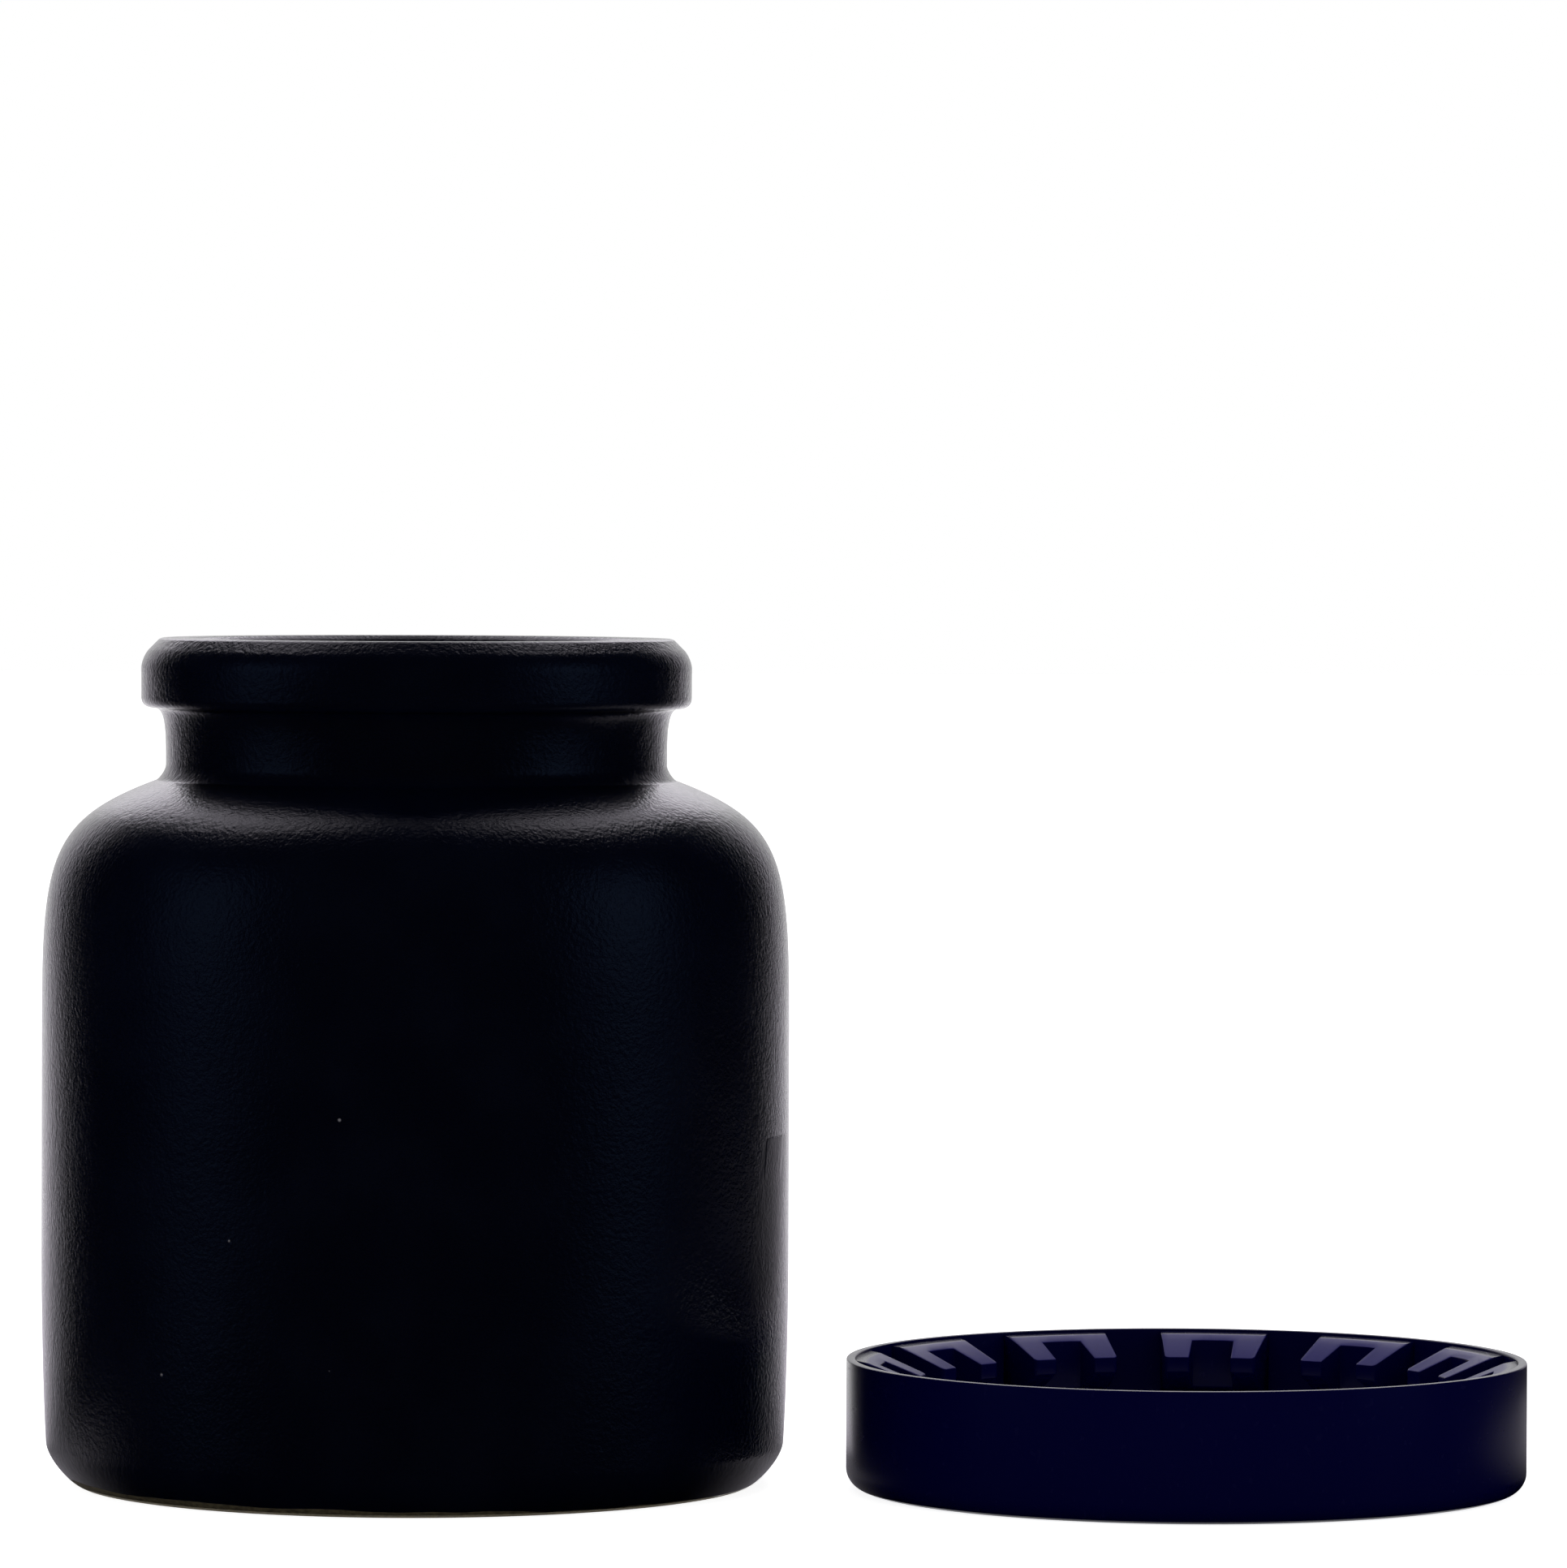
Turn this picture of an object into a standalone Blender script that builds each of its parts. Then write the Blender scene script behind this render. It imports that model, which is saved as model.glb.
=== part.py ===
"""A stoneware food jar with a rounded shoulder, a short neck and a collared mouth, and its press-on lid.

The lid lies beside the jar on its outer face, open side up, with a soft sealing disc on its floor.
Lengths are in metres, +Z is up, and the origin is the centre of the jar's flat base.
"""

import math

import bmesh
import bpy

# Jar, from the base up
JAR_HEIGHT = 0.1095
BODY_RADIUS = 0.0485
WALL = 0.0052
FLOOR = 0.0070
FLOOR_CORNER = 0.0080
BASE_INSET = 0.0049
FOOT_HEIGHT = 0.0055
FOOT_TAPER = 0.0006
SWELL_HEIGHT = 0.0245
SHOULDER_HEIGHT = 0.0338
SHOULDER_SLOPE_RISE = 0.0051
SHOULDER_EDGE = 0.0015
NECK_RADIUS = 0.0325
NECK_WALL = 0.0048
NECK_HEIGHT = 0.0099
NECK_FILLET = 0.0021

# Collar and rim of the jar
COLLAR_REACH = 0.0032
COLLAR_HEIGHT = 0.0090
COLLAR_CORNER = 0.0013
COLLAR_COVE = 0.0062
RIM_ROUND_WIDTH = 0.0036
RIM_ROUND_HEIGHT = 0.0042
MOUTH_ROUND = 0.0019

# Lid, in the order in which its shape is worked out from the collar that it grips
LUG_COUNT = 12
LUG_BITE = 0.0007
LUG_SPAN = math.radians(19.6)
RAMP_RUN = 0.0050
RAMP_DROP = 0.0029
LUG_LAND = 0.0028
LUG_SETBACK = 0.0002
NOSE_HEIGHT = 0.0019
UNDERCUT_DROP = 0.0045
NOTCH_WIDTH = 0.0055
NOTCH_DEPTH = 0.0038
LID_WALL = 0.0012
LID_PLATE = 0.0013
LID_CORNER = 0.0026
LID_INNER_CORNER = 0.0016
LID_EDGE = 0.0003
BEAD_WIDTH = 0.0010
BEAD_HEIGHT = 0.0012
BEAD_DRAFT = 0.0002

# Sealing disc
LINER_THICKNESS = 0.0014
LINER_OVERLAP = 0.0015
LINER_EDGE = 0.0004

# Clearances
SNAP_PLAY = 0.0002
LINER_CLEARANCE = 0.0003

# Where the lid lies: its gap to the jar, and its bearing from the jar, from +X towards +Y
LID_GAP = 0.0076
LID_BEARING = math.radians(-5.84)
LUG_PHASE = math.radians(19.9)

# Roundness of the curves: how far each handle reaches towards the curve's corner
ARC_SHARE = 0.5523
FOOT_SHARES = (0.22, 0.39)
SWELL_SHARES = (0.60, 0.60)
SWELL_CORNER_SHARE = 0.42
SHOULDER_SHARES = (0.83, 0.98)
FILLET_SHARES = (0.35, 0.35)
COVE_SHARES = (0.88, 0.70)
COLLAR_CORNER_SHARES = (0.60, 0.60)
RIM_SHARES = (0.43, 0.58)

SEGMENTS = 72
NOTCH_OVERRUN = 0.0010
LUG_ROOT_SHARE = 0.5
SHARP_ANGLE = math.radians(32)
WELD_DISTANCE = 0.000001

# Sizes that several pieces share
collar_radius = NECK_RADIUS + COLLAR_REACH
mouth_radius = NECK_RADIUS - NECK_WALL
nose_radius = collar_radius - LUG_BITE
lid_inner_radius = nose_radius + RAMP_RUN + LUG_LAND
lid_radius = lid_inner_radius + LID_WALL
liner_low = LID_PLATE + LINER_CLEARANCE
liner_high = liner_low + LINER_THICKNESS
hook_level = liner_high + COLLAR_HEIGHT - SNAP_PLAY
nose_level = hook_level + NOSE_HEIGHT
land_level = nose_level + RAMP_DROP
lid_height = land_level + LUG_SETBACK
liner_radius = collar_radius - RIM_ROUND_WIDTH + LINER_OVERLAP


def rounded(start, corner, end, shares=(ARC_SHARE, ARC_SHARE), steps=4):
    """Points of a smooth curve from start to end that bends round a corner, leaving out the start."""
    first = [s + shares[0] * (c - s) for s, c in zip(start, corner)]
    second = [e + shares[1] * (c - e) for c, e in zip(corner, end)]
    points = []
    for step in range(1, steps + 1):
        t = step / steps
        weights = ((1 - t) ** 3, 3 * (1 - t) ** 2 * t, 3 * (1 - t) * t**2, t**3)
        corners = (start, first, second, end)
        points.append(tuple(sum(w * c[axis] for w, c in zip(weights, corners)) for axis in (0, 1)))
    return points


def material(name, colour, roughness):
    """A Principled surface with one colour and no metal in it."""
    made = bpy.data.materials.new(name)
    made.use_nodes = True
    surface = made.node_tree.nodes["Principled BSDF"]
    surface.inputs["Base Color"].default_value = (*colour, 1)
    surface.inputs["Roughness"].default_value = roughness
    surface.inputs["Metallic"].default_value = 0
    return made


def add_object(name, shape, surface=None):
    """Turns a bmesh into an object with outward faces, smooth apart from its sharp edges."""
    bmesh.ops.remove_doubles(shape, verts=shape.verts, dist=WELD_DISTANCE)
    bmesh.ops.recalc_face_normals(shape, faces=shape.faces)
    mesh = bpy.data.meshes.new(name)
    shape.to_mesh(mesh)
    shape.free()
    mesh.shade_smooth()
    mesh.set_sharp_from_angle(angle=SHARP_ANGLE)
    if surface:
        mesh.materials.append(surface)
    made = bpy.data.objects.new(name, mesh)
    bpy.context.collection.objects.link(made)
    return made


def spin_outline(shape, outline, start_angle, span, steps):
    """Adds an outline of radius and height points to a bmesh, and spins it about the Z axis."""
    way = (math.cos(start_angle), math.sin(start_angle))
    verts = [shape.verts.new((radius * way[0], radius * way[1], height)) for radius, height in outline]
    edges = [shape.edges.new(pair) for pair in zip(verts, verts[1:])]
    full = math.isclose(span, math.tau)
    bmesh.ops.spin(
        shape, geom=verts + edges, cent=(0, 0, 0), axis=(0, 0, 1), angle=span, steps=steps, use_merge=full
    )


def turned(name, outline, surface, start_angle=0):
    """A solid of revolution, from an outline that starts and ends on the axis."""
    shape = bmesh.new()
    spin_outline(shape, outline, start_angle, math.tau, SEGMENTS)
    return add_object(name, shape, surface)


def guide(made):
    """Marks an object as a cutter or helper that isn't a piece of the model."""
    made.hide_render = True
    made.display_type = "WIRE"
    return made


def jar_outline():
    """From the middle of the inner floor, up the inner wall, over the rim, and down the outside."""
    inner_radius = BODY_RADIUS - WALL
    collar_low = JAR_HEIGHT - COLLAR_HEIGHT
    shoulder_high = collar_low - NECK_HEIGHT
    shoulder_low = shoulder_high - SHOULDER_HEIGHT
    slope_low = shoulder_high - SHOULDER_SLOPE_RISE
    inner_high = shoulder_high - WALL
    rim_flat_radius = collar_radius - RIM_ROUND_WIDTH
    foot_radius = BODY_RADIUS - FOOT_TAPER
    base_radius = BODY_RADIUS - BASE_INSET
    swell_high = FOOT_HEIGHT + SWELL_HEIGHT
    swell_corner = FOOT_HEIGHT + SWELL_HEIGHT * SWELL_CORNER_SHARE
    cove_radius = collar_radius - COLLAR_CORNER

    floor_edge = (inner_radius - FLOOR_CORNER, FLOOR)
    wall_low = (inner_radius, FLOOR + FLOOR_CORNER)
    wall_high = (inner_radius, shoulder_low)
    inner_shoulder = (mouth_radius + SHOULDER_EDGE, inner_high)
    throat_low = (mouth_radius, inner_high + NECK_FILLET)
    throat_high = (mouth_radius, JAR_HEIGHT - MOUTH_ROUND)
    rim_inner = (mouth_radius + MOUTH_ROUND, JAR_HEIGHT)
    rim_outer = (rim_flat_radius, JAR_HEIGHT)
    collar_high = (collar_radius, JAR_HEIGHT - RIM_ROUND_HEIGHT)
    collar_side_low = (collar_radius, collar_low + COLLAR_CORNER)
    collar_under = (cove_radius, collar_low)
    neck_high = (NECK_RADIUS, collar_low - COLLAR_COVE)
    neck_low = (NECK_RADIUS, shoulder_high + NECK_FILLET)
    shoulder_end = (NECK_RADIUS + SHOULDER_EDGE, shoulder_high)
    side_high = (BODY_RADIUS, shoulder_low)
    side_low = (BODY_RADIUS, swell_high)
    foot_high = (foot_radius, FOOT_HEIGHT)
    base_edge = (base_radius, 0)

    outline = [(0, FLOOR), floor_edge]
    outline += rounded(floor_edge, (inner_radius, FLOOR), wall_low, steps=5)
    outline += [wall_high]
    inner_corner = (inner_radius, slope_low - WALL)
    outline += rounded(wall_high, inner_corner, inner_shoulder, SHOULDER_SHARES, steps=8)
    outline += rounded(inner_shoulder, (mouth_radius, inner_high), throat_low, FILLET_SHARES, steps=2)
    outline += [throat_high]
    outline += rounded(throat_high, (mouth_radius, JAR_HEIGHT), rim_inner, steps=3)
    outline += [rim_outer]
    outline += rounded(rim_outer, (collar_radius, JAR_HEIGHT), collar_high, RIM_SHARES, steps=6)
    outline += [collar_side_low]
    under_corner = (collar_radius, collar_low)
    outline += rounded(collar_side_low, under_corner, collar_under, COLLAR_CORNER_SHARES, steps=3)
    outline += rounded(collar_under, (NECK_RADIUS, collar_low), neck_high, COVE_SHARES[::-1], steps=5)
    outline += [neck_low]
    outline += rounded(neck_low, (NECK_RADIUS, shoulder_high), shoulder_end, FILLET_SHARES, steps=3)
    shoulder_corner = (BODY_RADIUS, slope_low)
    outline += rounded(shoulder_end, shoulder_corner, side_high, SHOULDER_SHARES[::-1], steps=11)
    outline += [side_low]
    outline += rounded(side_low, (BODY_RADIUS, swell_corner), foot_high, SWELL_SHARES[::-1], steps=3)
    outline += rounded(foot_high, (foot_radius, 0), base_edge, FOOT_SHARES[::-1], steps=5)
    outline += [(0, 0)]
    return outline


def lid_outline():
    """From the middle of the lid's inner floor, over the bead, up the wall, and down the outside."""
    bead_inner = liner_radius + LINER_CLEARANCE
    bead_outer = bead_inner + BEAD_WIDTH
    bead_high = LID_PLATE + BEAD_HEIGHT
    floor_edge = (lid_inner_radius - LID_INNER_CORNER, LID_PLATE)
    wall_low = (lid_inner_radius, LID_PLATE + LID_INNER_CORNER)
    lip_inner_low = (lid_inner_radius, lid_height - LID_EDGE)
    lip_inner_high = (lid_inner_radius + LID_EDGE, lid_height)
    lip_outer_high = (lid_radius - LID_EDGE, lid_height)
    lip_outer_low = (lid_radius, lid_height - LID_EDGE)
    skirt_low = (lid_radius, LID_CORNER)
    face_edge = (lid_radius - LID_CORNER, 0)

    outline = [(0, LID_PLATE), (bead_inner, LID_PLATE)]
    outline += [(bead_inner + BEAD_DRAFT, bead_high), (bead_outer - BEAD_DRAFT, bead_high)]
    outline += [(bead_outer, LID_PLATE), floor_edge]
    outline += rounded(floor_edge, (lid_inner_radius, LID_PLATE), wall_low, steps=3)
    outline += [lip_inner_low]
    outline += rounded(lip_inner_low, (lid_inner_radius, lid_height), lip_inner_high, steps=1)
    outline += [lip_outer_high]
    outline += rounded(lip_outer_high, (lid_radius, lid_height), lip_outer_low, steps=1)
    outline += [skirt_low]
    outline += rounded(skirt_low, (lid_radius, 0), face_edge, steps=5)
    outline += [(0, 0)]
    return outline


def lug_outline():
    """A snap lug's closed section: flat land, lead-in ramp, upright nose, and the hooking undercut."""
    root_radius = lid_inner_radius + LID_WALL * LUG_ROOT_SHARE
    land_radius = nose_radius + RAMP_RUN
    return [
        (root_radius, land_level),
        (land_radius, land_level),
        (nose_radius, nose_level),
        (nose_radius, hook_level),
        (root_radius, hook_level - UNDERCUT_DROP),
        (root_radius, land_level),
    ]


def lug_ring():
    """All the snap lugs as separate solids, each spun through its own span and capped at both ends."""
    shape = bmesh.new()
    for index in range(LUG_COUNT):
        start_angle = math.tau * index / LUG_COUNT - LUG_SPAN / 2
        lug = bmesh.new()
        spin_outline(lug, lug_outline(), start_angle, LUG_SPAN, 4)
        bmesh.ops.remove_doubles(lug, verts=lug.verts, dist=WELD_DISTANCE)
        bmesh.ops.holes_fill(lug, edges=[edge for edge in lug.edges if edge.is_boundary])
        bmesh.ops.recalc_face_normals(lug, faces=lug.faces)
        mesh = bpy.data.meshes.new("one_lug")
        lug.to_mesh(mesh)
        lug.free()
        shape.from_mesh(mesh)
    return guide(add_object("lug_guide", shape))


def notch_ring():
    """Upright blocks that split the nose of each lug into two legs."""
    shape = bmesh.new()
    notch_outer = nose_radius + NOTCH_DEPTH
    notch_inner = nose_radius - NOTCH_OVERRUN
    low = hook_level - UNDERCUT_DROP - NOTCH_OVERRUN
    high = land_level + NOTCH_OVERRUN
    for index in range(LUG_COUNT):
        angle = math.tau * index / LUG_COUNT
        corners = bmesh.ops.create_cube(shape, size=1)["verts"]
        for corner in corners:
            along = notch_outer if corner.co.x > 0 else notch_inner
            across = NOTCH_WIDTH * corner.co.y
            height = high if corner.co.z > 0 else low
            x = along * math.cos(angle) - across * math.sin(angle)
            y = along * math.sin(angle) + across * math.cos(angle)
            corner.co = (x, y, height)
    return guide(add_object("notch_guide", shape))


def combine(made, tool, operation):
    """Adds or cuts one object's shape with another's."""
    change = made.modifiers.new(operation.title(), "BOOLEAN")
    change.operation = operation
    change.object = tool
    change.solver = "EXACT"


def make_jar():
    stoneware = material("stoneware", (0.0085, 0.011, 0.018), 0.32)
    return turned("stoneware_jar", jar_outline(), stoneware)


def make_lid():
    plastic = material("lid_plastic", (0.004, 0.004, 0.018), 0.30)
    half_step = math.pi / SEGMENTS
    lid = turned("snap_lid", lid_outline(), plastic, half_step)
    lugs = lug_ring()
    notches = notch_ring()
    combine(lugs, notches, "DIFFERENCE")
    combine(lid, lugs, "UNION")
    return lid, lugs, notches


def make_liner():
    rubber = material("liner_rubber", (0.80, 0.79, 0.74), 0.55)
    high_edge = liner_high - LINER_EDGE
    low_edge = liner_low + LINER_EDGE
    inset_radius = liner_radius - LINER_EDGE
    outline = [(0, liner_high), (inset_radius, liner_high), (liner_radius, high_edge)]
    outline += [(liner_radius, low_edge), (inset_radius, liner_low), (0, liner_low)]
    return turned("sealing_liner", outline, rubber)


def place_lid(pieces):
    """Stands the lid's pieces on an empty at the lid's centre, on the line along which it lifts."""
    distance = BODY_RADIUS + LID_GAP + lid_radius
    place = bpy.data.objects.new("lid_place", None)
    bpy.context.collection.objects.link(place)
    place.location = (distance * math.cos(LID_BEARING), distance * math.sin(LID_BEARING), 0)
    place.rotation_euler = (0, 0, LUG_PHASE)
    for piece in pieces:
        piece.parent = place


for old in list(bpy.data.objects):
    bpy.data.objects.remove(old, do_unlink=True)
make_jar()
lid_pieces = make_lid()
liner = make_liner()
place_lid([*lid_pieces, liner])
bpy.context.view_layer.update()
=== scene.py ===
# %% [markdown]
# # A stoneware jar with its press-on lid
#
# The real object is a half-litre food jar. It is pressed or thrown in stoneware clay, dipped in a matt
# blue-black glaze and fired, so the pot is one piece from its base to its collar. Its shallow lid is one
# moulding of navy polythene, and is taken to hold a soft sealing disc. The lid lies beside the jar, open
# side up.
#
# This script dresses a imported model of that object. It loads the model as a fixed frame, makes a finer piece
# for each plain solid, and hides the solids that these pieces stand for.

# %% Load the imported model
from math import asin, cos, pi, radians, sin

import bmesh
import bpy
from mathutils import Matrix, Vector


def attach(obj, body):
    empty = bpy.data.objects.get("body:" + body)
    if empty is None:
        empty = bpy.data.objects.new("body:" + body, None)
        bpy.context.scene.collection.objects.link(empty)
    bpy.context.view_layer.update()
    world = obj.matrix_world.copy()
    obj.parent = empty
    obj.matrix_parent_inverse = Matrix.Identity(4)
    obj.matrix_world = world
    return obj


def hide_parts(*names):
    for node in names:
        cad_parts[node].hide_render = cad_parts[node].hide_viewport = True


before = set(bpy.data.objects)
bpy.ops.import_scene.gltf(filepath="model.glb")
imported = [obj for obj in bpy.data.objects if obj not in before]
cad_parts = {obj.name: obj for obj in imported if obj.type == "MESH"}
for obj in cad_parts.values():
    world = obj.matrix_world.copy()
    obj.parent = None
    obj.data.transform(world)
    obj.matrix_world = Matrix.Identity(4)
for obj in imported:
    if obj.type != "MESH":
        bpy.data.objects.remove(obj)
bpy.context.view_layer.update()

# %% [markdown]
# ## The camera
#
# A photograph fixes where its camera stood: the curves of the rim, the collar and the foot say how high, and
# the gap between jar and lid says how far round. A camera can be placed by eye, or worked out from such
# curves. It was worked out here, with a long lens, so that the model lands within a few pixels of most of
# the photograph's outline.
# The picture is 1931 by 1932 pixels, and the lens is given by its focal length in those pixels.

# %% Place the camera
CAMERA_PLACE = (-0.00014, -1.15847, 0.12527)
CAMERA_TURN = 0.0412
CAMERA_DIP = 0.0298
CAMERA_TILT = 0.0036
FOCAL_PIXELS = 11000
PICTURE_WIDTH = 1931
SENSOR_WIDTH = 36


def camera_matrix(place, turn, dip, tilt):
    """Where a camera stands and looks: turned to the right, dipped below level and tilted, in radians."""
    forward = Vector((sin(turn) * cos(dip), cos(turn) * cos(dip), -sin(dip)))
    side = forward.cross(Vector((0, 0, 1))).normalized()
    up = side.cross(forward)
    axes = (cos(tilt) * side + sin(tilt) * up, cos(tilt) * up - sin(tilt) * side, -forward)
    return Matrix.Translation(place) @ Matrix(axes).transposed().to_4x4()


scene = bpy.context.scene
lens = bpy.data.cameras.new("photo_lens")
lens.sensor_fit = "HORIZONTAL"
lens.sensor_width = SENSOR_WIDTH
lens.lens = SENSOR_WIDTH * FOCAL_PIXELS / PICTURE_WIDTH
lens.clip_start = 0.01
lens.clip_end = 50
camera = bpy.data.objects.new("photo_camera", lens)
camera.matrix_world = camera_matrix(CAMERA_PLACE, CAMERA_TURN, CAMERA_DIP, CAMERA_TILT)
scene.collection.objects.link(camera)
scene.camera = camera
scene.view_settings.view_transform = "Standard"
print("lens", round(lens.lens, 1), "mm")

# %% [markdown]
# ## Writing nodes as sums
#
# A material or a Geometry Nodes tree is a web of small nodes, and a script that adds each one and each link
# by hand soon hides what it means. One small class helps: it holds an output socket, and a sum on it adds
# the Math node that works it out. Then `1 - mask` or `grain * depth` reads as it would on paper.

# %% A socket that can be reckoned with
class Wire:
    """An output socket. Arithmetic on it adds the Math nodes that work out the answer."""

    def __init__(self, tree, socket=None):
        self.tree = tree
        self.socket = socket

    def node(self, kind, settings=None, sockets=None, output=0):
        """Adds one node: its settings first, then values or wires for its sockets, by name or number."""
        node = self.tree.nodes.new(kind)
        for name, value in (settings or {}).items():
            setattr(node, name, value)
        for key, value in (sockets or {}).items():
            self.feed(node.inputs[key], value)
        return Wire(self.tree, node.outputs[output])

    def feed(self, socket, value):
        """Links a wire to a socket, or sets the socket to a plain value."""
        if isinstance(value, Wire):
            self.tree.links.new(value.socket, socket)
        else:
            socket.default_value = value

    def other(self, output):
        """Another output of the node that this wire comes from."""
        return Wire(self.tree, self.socket.node.outputs[output])

    def math(self, operation, *values):
        return self.node("ShaderNodeMath", {"operation": operation}, dict(enumerate(values)))

    def vector(self, operation, *values, output=0):
        return self.node("ShaderNodeVectorMath", {"operation": operation}, dict(enumerate(values)), output)

    def rise(self, low, high):
        """0 up to low, 1 from high on, and a smooth rise between. High may also be the lower of the two."""
        ends = {"Value": self, "From Min": low, "From Max": high}
        return self.node("ShaderNodeMapRange", {"interpolation_type": "SMOOTHSTEP"}, ends)

    def tint(self, none, full):
        """A colour that goes from one to another as this value goes from 0 to 1."""
        return self.node("ShaderNodeMix", {"data_type": "RGBA"}, {0: self, 6: none, 7: full}, output=2)

    def __add__(self, other):
        return self.math("ADD", self, other)

    def __sub__(self, other):
        return self.math("SUBTRACT", self, other)

    def __rsub__(self, other):
        return self.math("SUBTRACT", other, self)

    def __mul__(self, other):
        return self.math("MULTIPLY", self, other)

    def __truediv__(self, other):
        return self.math("DIVIDE", self, other)

    def __rtruediv__(self, other):
        return self.math("DIVIDE", other, self)

    def __mod__(self, other):
        return self.math("MODULO", self, other)

    __radd__ = __add__
    __rmul__ = __mul__


print("a Wire adds nodes for + - * / and %")

# %% [markdown]
# ## A lathe made of nodes
#
# The jar, the lid and the disc are all round about an axis, so each is an outline turned through a full
# circle. Blender's Screw modifier or bmesh's spin would do it. Geometry Nodes show the rule itself: a flat
# grid has one column for each step round and one row for each point of the outline, and every point of the
# grid moves to its row's radius and height at its column's angle. The first and last columns then meet,
# and are welded, and so are the rows that lie on the axis.
#
# Clay is never quite true, so a slow noise draws the wall in by a few hundredths of a millimetre.

# %% Build the lathe
WELD_DISTANCE = 1e-6


def new_tree(name, inputs):
    """An empty Geometry Nodes tree with these named inputs, and a wire for each of them."""
    tree = bpy.data.node_groups.new(name, "GeometryNodeTree")
    for label, kind in inputs.items():
        tree.interface.new_socket(label, in_out="INPUT", socket_type="NodeSocket" + kind)
    tree.interface.new_socket("Geometry", in_out="OUTPUT", socket_type="NodeSocketGeometry")
    start = tree.nodes.new("NodeGroupInput")
    return tree, {label: Wire(tree, start.outputs[label]) for label in inputs}


def end_tree(shape, material):
    """Ends a tree with real geometry, shaded smooth, with its material. Ends a tree as
    the export needs it: real geometry, smooth, with its material.
    """
    shape = shape.node("GeometryNodeSetShadeSmooth", sockets={"Geometry": shape})
    shape = shape.node("GeometryNodeRealizeInstances", sockets={"Geometry": shape})
    shape = shape.node("GeometryNodeSetMaterial", sockets={"Geometry": shape, "Material": material})
    shape.feed(shape.tree.nodes.new("NodeGroupOutput").inputs[0], shape)


def lathe_tree():
    """The lathe: an outline in the XZ plane, turned about the vertical line through Centre."""
    tree, given = new_tree("Lathe", {
        "Outline": "Geometry", "Steps Round": "Int", "Centre": "Vector", "Unevenness": "Float",
        "Wave Size": "Float", "Seed": "Float", "Material": "Material"})
    outline = given["Outline"]
    rows = outline.node("GeometryNodeAttributeDomainSize", {"component": "MESH"}, {0: outline})
    columns = {"Vertices X": given["Steps Round"] + 1, "Vertices Y": rows}
    grid = outline.node("GeometryNodeMeshGrid", sockets=columns)
    index = outline.node("GeometryNodeInputIndex")
    row = index % rows
    angle = (index - row) / rows * (2 * pi) / given["Steps Round"]
    place = outline.node("GeometryNodeInputPosition")
    point = outline.node("GeometryNodeSampleIndex", {"data_type": "FLOAT_VECTOR"},
                         {"Geometry": outline, "Value": place, "Index": row})
    radius = point.node("ShaderNodeSeparateXYZ", sockets={0: point})
    height = radius.other(2)
    spoke = {"X": angle.math("COSINE", angle) * radius, "Y": angle.math("SINE", angle) * radius, "Z": height}
    true_place = angle.node("ShaderNodeCombineXYZ", sockets=spoke)
    wave = point.node("ShaderNodeTexNoise", {"noise_dimensions": "4D"}, {
        "Vector": true_place, "W": given["Seed"], "Scale": 1 / given["Wave Size"], "Detail": 1})
    drawn_in = 1 - wave * given["Unevenness"]
    scale = point.node("ShaderNodeCombineXYZ", sockets={"X": drawn_in, "Y": drawn_in, "Z": 1})
    uneven_place = point.vector("ADD", point.vector("MULTIPLY", true_place, scale), given["Centre"])
    shape = grid.node("GeometryNodeSetPosition", sockets={"Geometry": grid, "Position": uneven_place})
    shape = shape.node("GeometryNodeMergeByDistance", sockets={"Geometry": shape, "Distance": WELD_DISTANCE})
    shape = shape.node("GeometryNodeFlipFaces", sockets={0: shape})
    end_tree(shape, given["Material"])
    return tree


lathe = lathe_tree()
print("lathe tree", len(lathe.nodes), "nodes")

# %% Run a tree and keep the result as a plain mesh
def grown(name, source, tree, values):
    """The plain mesh that a tree makes from a source mesh, as an object of its own at the origin."""
    worker = bpy.data.objects.new("worker", source)
    scene.collection.objects.link(worker)
    modifier = worker.modifiers.new("Tree", "NODES")
    modifier.node_group = tree
    for item in tree.interface.items_tree:
        if item.name in values:
            modifier[item.identifier] = values[item.name]
    evaluated = worker.evaluated_get(bpy.context.evaluated_depsgraph_get())
    mesh = bpy.data.meshes.new_from_object(evaluated)
    mesh.name = name
    bpy.data.objects.remove(worker)
    piece = bpy.data.objects.new(name, mesh)
    scene.collection.objects.link(piece)
    return piece


def turned(name, outline, material, centre=(0, 0, 0), steps_round=288,
           unevenness=0.0, wave_size=0.03, seed=0.0):
    """An outline of radius and height pairs, turned on the lathe."""
    source = bpy.data.meshes.new(name + "_outline")
    edges = [(number, number + 1) for number in range(len(outline) - 1)]
    source.from_pydata([(radius, 0, height) for radius, height in outline], edges, [])
    piece = grown(name, source, lathe, {
        "Steps Round": steps_round, "Centre": centre, "Unevenness": unevenness, "Wave Size": wave_size,
        "Seed": seed, "Material": material})
    faces = bmesh.new()
    faces.from_mesh(piece.data)
    print(name, len(outline), "outline points", len(piece.data.vertices), "vertices", "volume in cm3",
          round(faces.calc_volume(signed=True) * 1e6, 2),
          "open edges", sum(edge.is_boundary for edge in faces.edges))
    faces.free()
    return piece


# %% [markdown]
# ## Soft corners
#
# Each corner of a pot is a curve that leaves one straight run and joins the next. A circle's arc would do
# for some, but a potter's rib leaves corners that tighten or loosen along the way. A Bezier curve with its
# two handles on the lines that meet at the corner gives all of them: the shares say how far each handle
# reaches towards the corner, and 0.5523 of the way is the share of a round arc.

# %% A smooth corner
ARC_SHARE = 0.5523


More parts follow.
